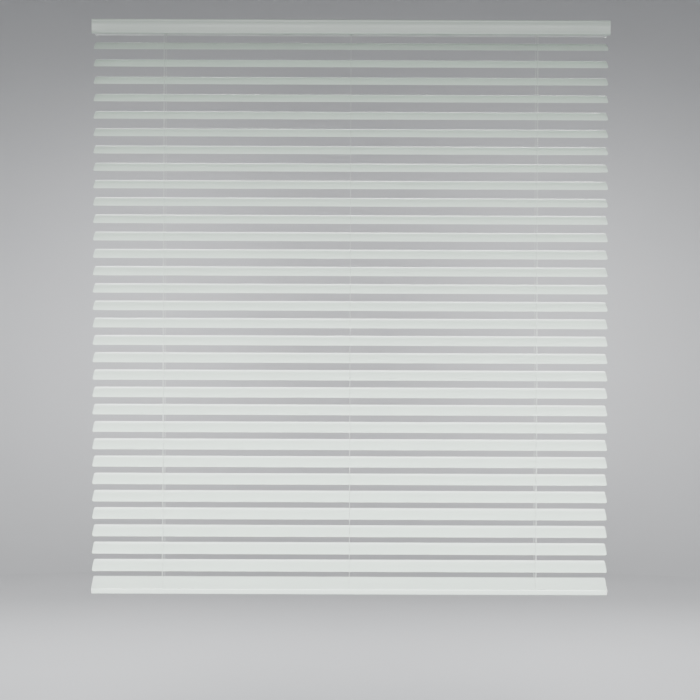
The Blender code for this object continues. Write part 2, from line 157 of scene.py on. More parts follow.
def make_camera():
    data = bpy.data.cameras.new("camera")
    data.sensor_width = CAMERA_SENSOR
    data.lens = CAMERA_LENS
    camera = bpy.data.objects.new("camera", data)
    camera.matrix_world = (
        Matrix.Translation((0.0, AXIS_Y - CAMERA_DISTANCE, CAMERA_HEIGHT))
        @ Matrix.Rotation(math.radians(90.0), 4, "X")
        @ Matrix.Rotation(CAMERA_ROLL, 4, "Z")
    )
    bpy.context.scene.collection.objects.link(camera)
    bpy.context.scene.camera = camera


def make_light(name, place, target, size, power, spread=180.0, color=(1.0, 1.0, 1.0)):
    data = bpy.data.lights.new(name, "AREA")
    data.shape = "RECTANGLE"
    data.size, data.size_y = size
    data.energy = power
    data.spread = math.radians(spread)
    data.color = color
    light = bpy.data.objects.new(name, data)
    aim = Vector(target) - Vector(place)
    light.matrix_world = Matrix.Translation(place) @ aim.to_track_quat("-Z", "Y").to_matrix().to_4x4()
    light.visible_camera = False
    bpy.context.scene.collection.objects.link(light)


def make_lights():
    """Lights from the room and its left, daylight from behind, one on the background, and a weak fill."""
    make_light("room_light", (0.0, -5.0, 1.00), (0.0, 0.0, -1.30), (5.0, 0.6), 49.0, spread=34.0)
    make_light("low_light", (0.0, -5.0, -1.15), (0.0, 0.0, -1.02), (5.0, 1.1), 60.0, spread=18.0)
    make_light("daylight", (0.0, 2.6, 0.42), (0.0, 0.0, -1.00), (3.4, 0.9), 200.0, color=DAYLIGHT_COLOR)
    make_light("background_light", (0.0, 3.0, 0.6), (0.0, 5.8, -1.9), (7.0, 1.2), 180.0)
    make_light("side_light", (-4.6, -2.0, 0.4), (0.0, 0.0, -0.9), (1.8, 2.4), 5.0)
    world = bpy.data.worlds.new("studio")
    world.use_nodes = True
    background = world.node_tree.nodes["Background"]
    background.inputs["Color"].default_value = WORLD_COLOR
    background.inputs["Strength"].default_value = WORLD_STRENGTH
    bpy.context.scene.world = world


# ---------------------------------------------------------------- material tools


def new_material(name, color, roughness, metallic=0.0, **constants):
    """A Principled material and its tree; constants go straight onto the shader's own sockets."""
    material = bpy.data.materials.new(name)
    material.use_nodes = True
    tree = material.node_tree
    shader = tree.nodes["Principled BSDF"]
    shader.inputs["Base Color"].default_value = (*color, 1.0)
    shader.inputs["Roughness"].default_value = roughness
    shader.inputs["Metallic"].default_value = metallic
    for socket, value in constants.items():
        shader.inputs[socket.replace("_", " ")].default_value = value
    return material, tree, shader


def add_node(tree, kind, inputs=(), **settings):
    """A shader node; inputs is a dict of socket to value or to the socket that feeds it."""
    made = tree.nodes.new("ShaderNode" + kind)
    for name, value in settings.items():
        setattr(made, name, value)
    for name, value in dict(inputs).items():
        if isinstance(value, bpy.types.NodeSocket):
            tree.links.new(value, made.inputs[name])
        else:
            made.inputs[name].default_value = value
    return made


def object_coords(tree, scale=(1.0, 1.0, 1.0), turn=(0.0, 0.0, 0.0)):
    coords = add_node(tree, "TexCoord").outputs["Object"]
    return add_node(tree, "Mapping", {"Vector": coords, "Scale": scale, "Rotation": turn}).outputs["Vector"]


def noise_value(tree, vector, scale, detail=3.0, roughness=0.55):
    inputs = {"Vector": vector, "Scale": scale, "Detail": detail, "Roughness": roughness}
    return add_node(tree, "TexNoise", inputs).outputs["Fac"]


def map_range(tree, value, low, high, to_low, to_high):
    inputs = {"Value": value, "From Min": low, "From Max": high, "To Min": to_low, "To Max": to_high}
    return add_node(tree, "MapRange", inputs).outputs["Result"]


def ramp(tree, value, low, high, top=1.0):
    """0 up to low, top from high on, and a straight rise between them."""
    return map_range(tree, value, low, high, 0.0, top)


def calculate(tree, operation, first, second=0.5):
    return add_node(tree, "Math", {0: first, 1: second}, operation=operation).outputs["Value"]


def mix_color(tree, factor, first, second):
    """Mix of two colours, each a triple or a socket."""
    first, second = ((*c, 1.0) if isinstance(c, tuple) else c for c in (first, second))
    return add_node(tree, "Mix", {0: factor, 6: first, 7: second}, data_type="RGBA").outputs[2]


def bump(tree, height, strength, distance, normal=None):
    inputs = {"Height": height, "Strength": strength, "Distance": distance}
    if normal is not None:
        inputs["Normal"] = normal
    return add_node(tree, "Bump", inputs).outputs["Normal"]


def tinted(color, factor):
    return tuple(min(1.0, channel * factor) for channel in color)


def connect(tree, shader, tone, surface, gloss=None):
    """Feeds the shader its colour, its normal and, where it varies, its roughness."""
    tree.links.new(tone, shader.inputs["Base Color"])
    tree.links.new(surface, shader.inputs["Normal"])
    if gloss is not None:
        tree.links.new(gloss, shader.inputs["Roughness"])


# ---------------------------------------------------------------- materials

BARE_METAL = (0.74, 0.75, 0.76)
DUST_TINT = (0.80, 0.77, 0.72)          # share of each colour channel that shows through the dust


def enamel(name, color, roughness, line_scale, edge_wear=0.0):
    """Stove enamel on rolled sheet: orange peel, faint lines along X, a film of dust, rubbed edges."""
    material, tree, shader = new_material(
        name, color, roughness, Specular_IOR_Level=0.5, Coat_Weight=0.12, Coat_Roughness=0.22,
    )
    plain = object_coords(tree)
    along = object_coords(tree, scale=(1.2, line_scale, line_scale))
    cloud = noise_value(tree, plain, 5.0, detail=4.0)
    lines = noise_value(tree, along, 1.0, detail=2.0)
    peel = noise_value(tree, plain, 850.0, detail=1.0)
    dust = noise_value(tree, plain, 420.0, detail=5.0, roughness=0.7)
    grime = tuple(channel * share for channel, share in zip(color, DUST_TINT))
    tone = mix_color(tree, ramp(tree, cloud, 0.3, 0.7), tinted(color, 0.975), tinted(color, 1.02))
    tone = mix_color(tree, ramp(tree, lines, 0.35, 0.65, 0.35), tone, tinted(color, 0.94))
    tone = mix_color(tree, ramp(tree, dust, 0.60, 0.80, 0.30), tone, grime)
    if edge_wear:
        across = add_node(tree, "Attribute", attribute_name="across").outputs["Fac"]
        rim = ramp(tree, calculate(tree, "ABSOLUTE", across), 0.972, 0.999)
        chips = ramp(tree, noise_value(tree, plain, 160.0, detail=4.0), 0.44, 0.60, edge_wear)
        tone = mix_color(tree, calculate(tree, "MULTIPLY", rim, chips), tone, BARE_METAL)
    gloss = map_range(tree, cloud, 0.25, 0.75, roughness - 0.05, roughness + 0.06)
    gloss = calculate(tree, "ADD", gloss, ramp(tree, dust, 0.55, 0.80, 0.12))
    surface = bump(tree, peel, 0.10, 0.00006)
    surface = bump(tree, lines, 0.16, 0.00008, surface)
    connect(tree, shader, tone, surface, gloss)
    return material


def moulded_plastic(name, color, roughness):
    """Injection-moulded plastic: a spark-eroded grain, faint flow marks and handling marks."""
    material, tree, shader = new_material(name, color, roughness, Specular_IOR_Level=0.45)
    plain = object_coords(tree)
    grain = noise_value(tree, plain, 2600.0, detail=2.0)
    flow = noise_value(tree, object_coords(tree, scale=(1.0, 3.0, 6.0)), 22.0, detail=3.0)
    marks = noise_value(tree, plain, 300.0, detail=6.0, roughness=0.75)
    tone = mix_color(tree, ramp(tree, flow, 0.3, 0.7), tinted(color, 0.95), tinted(color, 1.03))
    tone = mix_color(tree, ramp(tree, marks, 0.62, 0.80, 0.4), tone, tinted(color, 0.78))
    gloss = map_range(tree, flow, 0.3, 0.7, roughness - 0.06, roughness + 0.06)
    connect(tree, shader, tone, bump(tree, grain, 0.25, 0.00005), gloss)
    return material


def zinc_plate(name, color, roughness):
    """Galvanised sheet: a crystal spangle, a mill grain along X and small dark scuffs."""
    material, tree, shader = new_material(name, color, roughness, 0.9)
    plain = object_coords(tree)
    cells = add_node(tree, "TexVoronoi", {"Vector": plain, "Scale": 230.0}).outputs["Color"]
    cell_tone = add_node(tree, "SeparateColor", {"Color": cells}).outputs[0]
    grain = noise_value(tree, object_coords(tree, scale=(30.0, 2200.0, 2200.0)), 1.0, detail=2.0)
    scuffs = noise_value(tree, plain, 130.0, detail=6.0, roughness=0.8)
    tone = mix_color(tree, cell_tone, tinted(color, 0.92), tinted(color, 1.05))
    tone = mix_color(tree, ramp(tree, scuffs, 0.60, 0.78, 0.5), tone, tinted(color, 0.55))
    gloss = map_range(tree, cell_tone, 0.0, 1.0, roughness - 0.07, roughness + 0.08)
    gloss = calculate(tree, "ADD", gloss, ramp(tree, scuffs, 0.55, 0.75, 0.15))
    connect(tree, shader, tone, bump(tree, grain, 0.12, 0.00004), gloss)
    return material


def drawn_steel(name, color, roughness, scale):
    """Bright drawn steel: fine die lines along the drawing direction, with a few darker oiled patches."""
    material, tree, shader = new_material(name, color, roughness, 1.0)
    lines = noise_value(tree, object_coords(tree, scale=scale), 1.0, detail=3.0)
    oil = noise_value(tree, object_coords(tree), 18.0, detail=4.0)
    tone = mix_color(tree, ramp(tree, lines, 0.3, 0.7), tinted(color, 0.82), tinted(color, 1.12))
    tone = mix_color(tree, ramp(tree, oil, 0.55, 0.75, 0.45), tone, tinted(color, 0.62))
    gloss = map_range(tree, oil, 0.3, 0.7, roughness + 0.06, roughness - 0.05)
    connect(tree, shader, tone, bump(tree, lines, 0.2, 0.00004), gloss)
    return material


def braided_cord(name, color):
    """Braided polyester: crossing strands about a millimetre long, a soft sheen and stray fibres."""
    material, tree, shader = new_material(name, color, 0.82, Sheen_Weight=0.25, Sheen_Roughness=0.4)
    turned = object_coords(tree, turn=(0.0, math.radians(45.0), 0.0))
    waves = {"Vector": turned, "Scale": 290.0, "Distortion": 1.5, "Detail": 1.0}
    strands = [add_node(tree, "TexWave", waves, bands_direction=way).outputs["Fac"] for way in ("X", "Z")]
    weave = calculate(tree, "MULTIPLY", *strands)
    fuzz = noise_value(tree, object_coords(tree), 1500.0, detail=4.0)
    shade = noise_value(tree, object_coords(tree), 9.0, detail=3.0)
    # painted shade: the grooves between the braid's strands are painted darker than the strands' tops
    tone = mix_color(tree, ramp(tree, weave, 0.0, 1.0), tinted(color, 0.84), tinted(color, 1.05))
    tone = mix_color(tree, ramp(tree, shade, 0.4, 0.75, 0.3), tone, tinted(color, 0.88))
    surface = bump(tree, weave, 0.6, 0.0002)
    surface = bump(tree, fuzz, 0.3, 0.00008, surface)
    connect(tree, shader, tone, surface, map_range(tree, fuzz, 0.3, 0.7, 0.74, 0.90))
    return material


def matt_paper(name, color):
    """The seamless studio background: matt, with a barely visible mottle."""
    material, tree, shader = new_material(name, color, 0.9, Specular_IOR_Level=0.2)
    plain = object_coords(tree)
    mottle = noise_value(tree, plain, 1.7, detail=5.0)
    tone = mix_color(tree, ramp(tree, mottle, 0.3, 0.7), tinted(color, 0.985), tinted(color, 1.01))
    connect(tree, shader, tone, bump(tree, noise_value(tree, plain, 60.0), 0.05, 0.002))
    return material


MINT = (0.640, 0.742, 0.664)
SLAT_PAINT = enamel("slat_enamel", MINT, 0.36, 420.0, edge_wear=0.5)
# painted shade: the rail's paint is the slats' mint made 5% darker, which dims its top as shade would
RAIL_SHADED_PAINT = enamel("rail_powder_coat_painted_shade", tinted(MINT, 0.95), 0.38, 300.0)
# painted shade: the fascia's paint is the slats' mint made 10% darker, for the shade at the top of the
# blind
FASCIA_SHADED_PAINT = enamel("fascia_enamel_painted_shade", tinted(MINT, 0.90), 0.38, 300.0)
HEADRAIL_PAINT = enamel("headrail_enamel", (0.690, 0.735, 0.702), 0.42, 260.0)
CAP_PLASTIC = moulded_plastic("cap_plastic", (0.66, 0.70, 0.67), 0.48)
DRUM_PLASTIC = moulded_plastic("drum_plastic", (0.80, 0.80, 0.78), 0.44)
MOTOR_PLASTIC = moulded_plastic("motor_plastic", (0.72, 0.73, 0.72), 0.50)
ZINC = zinc_plate("zinc_plate", (0.66, 0.67, 0.68), 0.34)
ROD_STEEL = drawn_steel("rod_steel", (0.56, 0.57, 0.59), 0.30, (25.0, 2500.0, 2500.0))
SPRING_STEEL = drawn_steel("spring_steel", (0.46, 0.49, 0.55), 0.24, (60.0, 60.0, 2600.0))
CORD_FIBRE = braided_cord("cord_fibre", (0.60, 0.65, 0.61))
PAPER = matt_paper("background_paper", (0.43, 0.435, 0.447))

# ---------------------------------------------------------------- mesh tools

MERGE_DISTANCE = 0.000002
FLAT_ANGLE = math.radians(0.8)          # faces that turn by less than this become one
AXIS_RADIUS = 0.00002                   # stands for a point on the axis of a turned solid
STRAIGHT_HALF_ANGLE = math.radians(84.0)
EDGE_SEGMENTS = 2
ARC_STEPS = 6
ROUTE_STEPS = 6
STRAND_SWELL = 0.09                     # how far a cord's two strands stand out, as a share of its radius
CORD_SHARP = 60.0                       # degrees; a cord's strands stay smooth


def new_object(name, bm, material, sharp=35.0):
    """An object from a bmesh, smooth except across edges sharper than the given angle."""
    bmesh.ops.recalc_face_normals(bm, faces=bm.faces)
    mesh = bpy.data.meshes.new(name)
    bm.to_mesh(mesh)
    bm.free()
    mesh.shade_smooth()
    mesh.set_sharp_from_angle(angle=math.radians(sharp))
    mesh.materials.append(material)
    obj = bpy.data.objects.new(name, mesh)
    bpy.context.scene.collection.objects.link(obj)
    return obj


def declare(obj, body, slot, *nodes):
    """Hangs a piece on its body's empty and hides the CAD nodes that it stands for; slot is not used."""
    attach(obj, body)
    if nodes:
        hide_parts(*nodes)
    return obj


def round_edges(bm, width, angle=40.0):
    """Rounds off every edge that turns by more than the angle."""
    limit = math.radians(angle)
    edges = [edge for edge in bm.edges if edge.is_manifold and edge.calc_face_angle() > limit]
    bmesh.ops.bevel(
        bm, geom=edges, offset=width, segments=EDGE_SEGMENTS, profile=0.5, affect="EDGES",
        clamp_overlap=True,
    )


def refined(node, name, body, slot, material, width):
    """A copy of a CAD part, its flat faces made whole and its edges rounded."""
    bm = bmesh.new()
    bm.from_mesh(frame["nodes"][node].data)
    bmesh.ops.remove_doubles(bm, verts=bm.verts, dist=MERGE_DISTANCE)
    bmesh.ops.dissolve_limit(bm, angle_limit=FLAT_ANGLE, verts=bm.verts, edges=bm.edges)
    round_edges(bm, width)
    return declare(new_object(name, bm, material), body, slot, node)


def add_box(bm, low, high):
    size = Vector(high) - Vector(low)
    middle = (Vector(high) + Vector(low)) / 2
    matrix = Matrix.Translation(middle) @ Matrix.Diagonal((*size, 1.0))
    bmesh.ops.create_cube(bm, size=1.0, matrix=matrix)


def join_rows(bm, first, second, closed=True):
    """The faces between two rows of as many vertices, which are rings if closed."""
    for i in range(len(first) if closed else len(first) - 1):
        j = (i + 1) % len(first)
        bm.faces.new((first[i], first[j], second[j], second[i]))


def add_rings(bm, rings, closed=False):
    """Skins a list of rings of points, with a cap at each end unless the rings close on themselves."""
    loops = [[bm.verts.new(point) for point in ring] for ring in rings]
    for first, second in zip(loops, loops[1:]):
        join_rows(bm, first, second)
    if closed:
        join_rows(bm, loops[-1], loops[0])
    else:
        bm.faces.new(reversed(loops[0]))
        bm.faces.new(loops[-1])


def circle(radius, steps, height=0.0):
    """Points (x, y, z) round a circle about the Z axis."""
    angles = [2 * math.pi * i / steps for i in range(steps)]
    return [Vector((radius * math.cos(angle), radius * math.sin(angle), height)) for angle in angles]


def add_turned(bm, profile, place, axis=UP, steps=32):
    """A solid turned about an axis through place; its (radius, height) points begin and end on the axis."""
    turn = UP.rotation_difference(Vector(axis)).to_matrix()
    rings = []
    for radius, height in profile:
        ring = circle(max(radius, AXIS_RADIUS), steps, height)
        rings.append([Vector(place) + turn @ point for point in ring])
    add_rings(bm, rings)


def rounded_path(points, radius, closed=False):
    """The points (y, z) with each corner turned into an arc of the given radius."""
    path = []
    count = len(points)
    for i, point in enumerate(points):
        here, before, after = Vector(point), Vector(points[i - 1]), Vector(points[(i + 1) % count])
        if not closed and i in (0, count - 1):
            path.append(here)
            continue
        back, ahead = (before - here).normalized(), (after - here).normalized()
        half = back.angle(ahead) / 2
        if half > STRAIGHT_HALF_ANGLE:
            path.append(here)
            continue
        reach = radius / math.tan(half)
        centre = here + (back + ahead).normalized() * radius / math.sin(half)
        start = here + back * reach - centre
        sweep = start.angle_signed(here + ahead * reach - centre)
        for step in range(ARC_STEPS + 1):
            path.append(centre + Matrix.Rotation(-sweep * step / ARC_STEPS, 2) @ start)
    return path


def arc_height(across, chord, crown):
    """Height above its chord of a shallow arc, at a distance from its middle."""
    radius = (chord * chord / 4 + crown * crown) / (2 * crown)
    return math.sqrt(radius * radius - across * across) - (radius - crown)


def tilted(across, up, axis, x=0.0, tilt=REST_TILT):
    """The point at (across, up) from an axis along X, once tilted as the slats are at rest."""
    turn = Matrix.Rotation(tilt, 3, "X")
    return Vector((x, axis.y, axis.z)) + turn @ Vector((0.0, across, up))


def cord_rings(points, radius, spacing=0.0010, lay=0.0040, sides=8):
    """Rings along a smooth cord of two laid strands; lay is the length of one turn of the strands."""
    route = [Vector(point) for point in points]
    lengths = [0.0]
    for first, second in zip(route, route[1:]):
        lengths.append(lengths[-1] + (second - first).length)
    count = max(2, round(lengths[-1] / spacing))
    rings = []
    side = None
    for step in range(count + 1):
        travelled = lengths[-1] * step / count
        leg = next((i for i in range(len(route) - 2) if lengths[i + 1] >= travelled), len(route) - 2)
        share = (travelled - lengths[leg]) / max(1e-9, lengths[leg + 1] - lengths[leg])
        place = route[leg].lerp(route[leg + 1], share)
        way = (route[leg + 1] - route[leg]).normalized()
        side = way.orthogonal().normalized() if side is None else (side - way * side.dot(way)).normalized()
        other = way.cross(side)
        ring = []
        for i in range(sides):
            angle = 2 * math.pi * i / sides
            strands = math.cos(2 * angle - 2 * math.pi * travelled / lay)
            reach = radius * (1.0 - STRAND_SWELL + STRAND_SWELL * strands)
            ring.append(place + side * (reach * math.cos(angle)) + other * (reach * math.sin(angle)))
        rings.append(ring)
    return rings


def smooth_route(points):
    """A Catmull-Rom curve through the points."""
    route = [Vector(point) for point in points]
    padded = [route[0] * 2 - route[1], *route, route[-1] * 2 - route[-2]]
    smooth = []
    for before, here, after, beyond in zip(padded, padded[1:], padded[2:], padded[3:]):
        for step in range(ROUTE_STEPS):
            t = step / ROUTE_STEPS
            point = 2 * here + (after - before) * t
            point += (2 * before - 5 * here + 4 * after - beyond) * t ** 2
            point += (3 * here - before - 3 * after + beyond) * t ** 3
            smooth.append(point / 2)
    return [*smooth, route[-1]]


def cord(name, points, radius, **options):
    bm = bmesh.new()
    add_rings(bm, cord_rings(points, radius, **options))
    return new_object(name, bm, CORD_FIBRE, sharp=CORD_SHARP)


# ---------------------------------------------------------------- slats

SLAT_COLUMNS = 44
SLAT_FLAT_STEPS = 14
SLAT_CORNER_STEPS = 5
SLAT_RIPPLE = 0.00003                   # how far a rolled slat wanders from its true arc
RIPPLES_ALONG = 3.5                     # ripples in a metre
RIPPLES_ACROSS = 15.0
SLAT_PLAY = math.radians(0.10)          # how far each slat's tilt differs from its neighbours'
RUNG_SPREAD = 0.0011                    # half the distance between a ladder's two threads under a slat
RUNG_END = LADDER_OFFSET - 0.6 * LADDER_RADIUS    # slat axis to a rung's end, just inside the ladder cord
RUNG_STEPS = 12
RUNG_GAP = 0.00008                      # between a slat and the thread under it
KNOT_PROFILE = [(0.0, -0.0012), (0.0006, -0.0009), (0.00072, 0.0), (0.0006, 0.0009), (0.0, 0.0012)]


def slat_stations():
    """Distances from the slat's middle, front to rear, closer together round the corners."""
    flat = SLAT_CHORD / 2 - SLAT_CORNER
    turns = [math.pi / 2 * i / SLAT_CORNER_STEPS for i in range(1, SLAT_CORNER_STEPS + 1)]
    corner = [flat + SLAT_CORNER * math.sin(turn) for turn in turns]
    middle = [flat * (2 * i / SLAT_FLAT_STEPS - 1) for i in range(SLAT_FLAT_STEPS + 1)]
    return [-value for value in reversed(corner)] + middle + corner


def corner_inset(across):
    """How much shorter the slat is at this distance from its middle, where its corners are cut round."""
    past = abs(across) - (SLAT_CHORD / 2 - SLAT_CORNER)
    return 0.0 if past <= 0 else SLAT_CORNER - math.sqrt(max(0.0, SLAT_CORNER ** 2 - past ** 2))


def make_slat(number, chance):
    axis = slat_axis(number)
    tilt = REST_TILT + chance.uniform(-SLAT_PLAY, SLAT_PLAY)
    seed = chance.uniform(0.0, 100.0)
    stations = slat_stations()
    bm = bmesh.new()
    mark = bm.verts.layers.float.new("across")
    rings = []
    for column in range(SLAT_COLUMNS + 1):
        share = 2 * column / SLAT_COLUMNS - 1
        top, under = [], []
        for across in stations:
            x = share * (SLAT_LENGTH / 2 - corner_inset(across))
            spot = Vector((x * RIPPLES_ALONG, across * RIPPLES_ACROSS, seed))
            ripple = SLAT_RIPPLE * noise.noise(spot)
            up = arc_height(across, SLAT_CHORD, SLAT_CROWN) + ripple
            for row, height in ((top, up), (under, up - SLAT_THICKNESS)):
                vert = bm.verts.new(tilted(across, height, axis, x, tilt))
                vert[mark] = across / (SLAT_CHORD / 2)
                row.append(vert)
        rings.append(top + under[::-1])
    for first, second in zip(rings, rings[1:]):
        join_rows(bm, first, second)
    for ring in (rings[0], rings[-1]):
        half = len(ring) // 2
        for i in range(half - 1):
            bm.faces.new((ring[i], ring[i + 1], ring[-i - 2], ring[-i - 1]))
    name = slat_name(number)
    declare(new_object(f"blade_{number:02d}", bm, SLAT_PAINT), name, "slat_paint", name)


def make_rungs(number):
    """The ladders' cross threads: two under the slat, tied to the uprights at both edges."""
    axis = slat_axis(number)
    bm = bmesh.new()
    reach = SLAT_CHORD / 2
    drop = SLAT_THICKNESS + RUNG_RADIUS + RUNG_GAP
    for x in STATION_X:
        for aside in (-RUNG_SPREAD, RUNG_SPREAD):
            route = [tilted(-RUNG_END, 0.0, axis, x)]
            for step in range(RUNG_STEPS + 1):
                across = reach * (2 * step / RUNG_STEPS - 1)
                up = arc_height(across, SLAT_CHORD, SLAT_CROWN) - drop
                spread = 1.0 - (across / reach) ** 6
                route.append(tilted(across, up, axis, x + aside * spread))
            route.append(tilted(RUNG_END, 0.0, axis, x))
            add_rings(bm, cord_rings(route, RUNG_RADIUS, spacing=0.0020, lay=0.0030, sides=6))
        for way in ENDS.values():
            knot = tilted(way * LADDER_OFFSET, 0.0, axis, x)
            add_turned(bm, KNOT_PROFILE, knot, steps=10)
    rungs = new_object(f"ladder_rungs_{number:02d}", bm, CORD_FIBRE, CORD_SHARP)
    declare(rungs, slat_name(number), "cord_fibre")


# ---------------------------------------------------------------- ladders and lift cords

DRUM_CORD_RADIUS = 0.00995              # rod axis to the middle of the cord wound on a drum
DRUM_CORD_X = 0.0012                    # ladder to the turns of its cords on the drum, one to each side
DRUM_TURNS = 1.6
DRUM_CORD_PITCH = 0.0010
DRUM_STEPS = 40
LADDER_SPREAD = 0.32                    # share of its spread that a ladder cord has at the headrail's floor
LADDER_KNEE = 0.0040                    # the cords begin to fold this far below the last fixed slat's edge
LADDER_FOOT = 0.0014                    # a ladder cord ends this far above the rail's tilted edge


def make_ladder(end, side, x):
    """One upright: off its drum to the headrail's floor, free to the top slat, then down to the rail."""
    way = ENDS[end]
    node = f"ladder_{end}_{side}"
    body = f"ladder_{end}s"
    edge = Vector((0.0, way * math.cos(REST_TILT), way * math.sin(REST_TILT))) * LADDER_OFFSET
    y = AXIS_Y + edge.y
    drum = Vector((x + way * DRUM_CORD_X, ROD_AXIS.y + way * DRUM_CORD_RADIUS, ROD_AXIS.z))
    floor = Vector((x, drum.y + (y - drum.y) * LADDER_SPREAD, CHANNEL_LOW.z + CHANNEL_SHEET / 2))
    first = Vector((x, y, FIRST_SLAT.z + edge.z))
    knee = Vector((x, y, GATHER_TOP + edge.z - LADDER_KNEE))
    foot = Vector((x, y, RAIL_AXIS.z + edge.z + LADDER_FOOT))
    lead = cord(f"ladder_lead_{end}_{side}", [drum, floor], LADDER_RADIUS)
    declare(lead, "root", "cord_fibre")
    drop = cord(f"ladder_drop_{end}_{side}", [floor, first], LADDER_RADIUS)
    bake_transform(drop)
    run = cord(f"ladder_run_{end}_{side}", [first, knee], LADDER_RADIUS)
    declare(run, body, "cord_fibre", node)
    tail = cord(f"ladder_tail_{end}_{side}", [knee, foot], LADDER_RADIUS)
    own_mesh(tail)
    declare(tail, body, "cord_fibre", node)


def make_drum_windings():
    """The turns of both ladder cords round each drum."""
    for side, x in zip(SIDES, STATION_X):
        bm = bmesh.new()
        for way in ENDS.values():
            route = []
            for step in range(DRUM_STEPS + 1):
                turned = DRUM_TURNS * step / DRUM_STEPS
                aside = way * (DRUM_CORD_X + DRUM_CORD_PITCH * (turned - DRUM_TURNS / 2))
                angle = 2 * math.pi * turned
                out = Vector((0.0, math.cos(angle), math.sin(angle))) * DRUM_CORD_RADIUS
                route.append(Vector((x + aside, ROD_AXIS.y, ROD_AXIS.z)) + out)
            add_rings(bm, cord_rings(route, LADDER_RADIUS))
        windings = new_object(f"drum_windings_{side}", bm, CORD_FIBRE, CORD_SHARP)
        declare(windings, "tilt_rod", "cord_fibre")


SPOOL_CORD = 0.0080                     # spool axis to the lift cord that meets it
LIFT_RUN_Y = -0.0115                    # where a lift cord runs along inside the headrail
LIFT_FOOT = 0.0076                      # rail axis up to the end of a lift cord
LIFT_BEAD_PROFILE = [
    (0.0, -0.0022), (0.0011, -0.0022), (0.0017, -0.0014), (0.0018, 0.0004), (0.0013, 0.0020),
    (0.0009, 0.0024), (0.0, 0.0024),
]


def lift_bend(side, way):
    """Where a lift cord goes through the headrail's floor, past the tilt rod and along to the spool."""
    x = LIFT_X[side]
    spool_y = SPOOL_Y - way * SPOOL_CORD
    wall_x = MOTOR_LOW.x if side == "left" else MOTOR_HIGH.x
    rod_z = ROD_AXIS.z
    return [
        (x, LIFT_Y, CHANNEL_LOW.z - 0.004),
        (x, LIFT_Y, CHANNEL_LOW.z + 0.005),
        (x - way * 0.001, LIFT_Y - 0.0012, rod_z - 0.0025),
        (x - way * 0.005, LIFT_Y - 0.0035, rod_z),
        (x - way * 0.012, LIFT_RUN_Y, rod_z),
        (x - way * 0.100, LIFT_RUN_Y, rod_z),
        (wall_x + way * 0.050, spool_y, rod_z),
        (wall_x + way * 0.004, spool_y, rod_z),
        (SPOOL_X, spool_y, rod_z),
    ]


def make_lift_cord(side, way):
    """Up behind the slats from the rail's rear edge, through the headrail's floor and to the spool."""
    x = LIFT_X[side]
    node = f"lift_cord_{side}"
    knee = (x, LIFT_Y, GATHER_TOP)
    foot = (x, LIFT_Y, RAIL_AXIS.z + LIFT_FOOT)
    top = cord(f"lift_cord_run_{side}", [knee, *smooth_route(lift_bend(side, way))], LIFT_RADIUS)
    declare(top, "root", "cord_fibre", node)
    tail = cord(f"lift_cord_tail_{side}", [knee, foot], LIFT_RADIUS)
    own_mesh(tail)
    declare(tail, "root", "cord_fibre", node)
    bm = bmesh.new()
    add_turned(bm, LIFT_BEAD_PROFILE, foot, steps=20)
    declare(new_object(f"lift_cord_bead_{side}", bm, CAP_PLASTIC), "lift_cords", "cap_plastic")


LOOP_RADIUS = 0.00155
LOOP_WIRE = 0.00042                     # radius of the braid
LOOP_RISE = 0.013                       # slat axis up to its loops
LOOP_SLOPE = 0.18                       # rise over run, up towards the ladder
LOOP_PULL = 0.25                        # how far the ladder's side is drawn out, as a share of the radius
LOOP_SWELL = 0.07                       # how far the braid's two strands stand out
LOOP_STRAND_TURNS = 5
LOOP_STEPS = 20
WIRE_STEPS = 8
LOOP_KNOT_OUT = LOOP_RADIUS * (1.0 + LOOP_PULL) + 0.0004
LOOP_KNOT_UP = 0.0003
LOOP_KNOT_PROFILE = [(0.0, -0.0007), (0.00055, -0.0004), (0.0006, 0.0003), (0.0, 0.0008)]


def add_cord_loop(bm, side, number):
    """A loop of the ladder's braid round the lift cord, drawn out to a small knot on the ladder's side."""
    centre = Vector((LIFT_X[side], LIFT_Y, slat_axis(number).z + LOOP_RISE))
    inward = 1.0 if side == "left" else -1.0
    rings = []
    for step in range(LOOP_STEPS):
        angle = 2 * math.pi * step / LOOP_STEPS
        radial = Vector((math.cos(angle), math.sin(angle), 0.0))
        out = radial + UP * (LOOP_SLOPE * math.cos(angle) * inward)
        pull = 1.0 + LOOP_PULL * max(0.0, math.cos(angle) * inward) ** 4
        place = centre + out * (LOOP_RADIUS * pull)
        ring = []
        for i in range(WIRE_STEPS):
            turn = 2 * math.pi * i / WIRE_STEPS
            strands = math.cos(2 * turn + LOOP_STRAND_TURNS * angle)
            wire = LOOP_WIRE * (1.0 - LOOP_SWELL + LOOP_SWELL * strands)
            ring.append(place + radial * (wire * math.cos(turn)) + UP * (wire * math.sin(turn)))
        rings.append(ring)
    add_rings(bm, rings, closed=True)
    knot = centre + Vector((inward * LOOP_KNOT_OUT, 0.0, LOOP_KNOT_UP))
    add_turned(bm, LOOP_KNOT_PROFILE, knot, (inward, 0.0, 0.0), 10)


def make_cord_loops():
    """A pair of loops behind each slat; those of the gathered slats rise with them."""
    for number in range(1, SLAT_COUNT + 1):
        bm = bmesh.new()
        for side in LIFT_X:
            add_cord_loop(bm, side, number)
        loops = new_object(f"braid_loops_{number:02d}", bm, CORD_FIBRE, CORD_SHARP)
        if number > SLAT_COUNT - GATHERED_SLATS:
            declare(loops, f"cord_loop_{number}", "cord_fibre", f"cord_loop_{number}")
        else:
            declare(loops, "root", "cord_fibre")


# ---------------------------------------------------------------- fascia and bottom rail

SHEET_COLUMNS = 40
FASCIA_RIM = 0.0003
ROLL_LINES = (-0.0112, 0.0112)          # heights of the fascia's two rolled lines
ROLL_DEPTH = 0.00022
ROLL_WIDTH = 0.0010
ROLL_STEPS = 3                          # to each side of a line's middle
FACING = 0.9                            # the least share of a face's normal along Y, if it is the front's


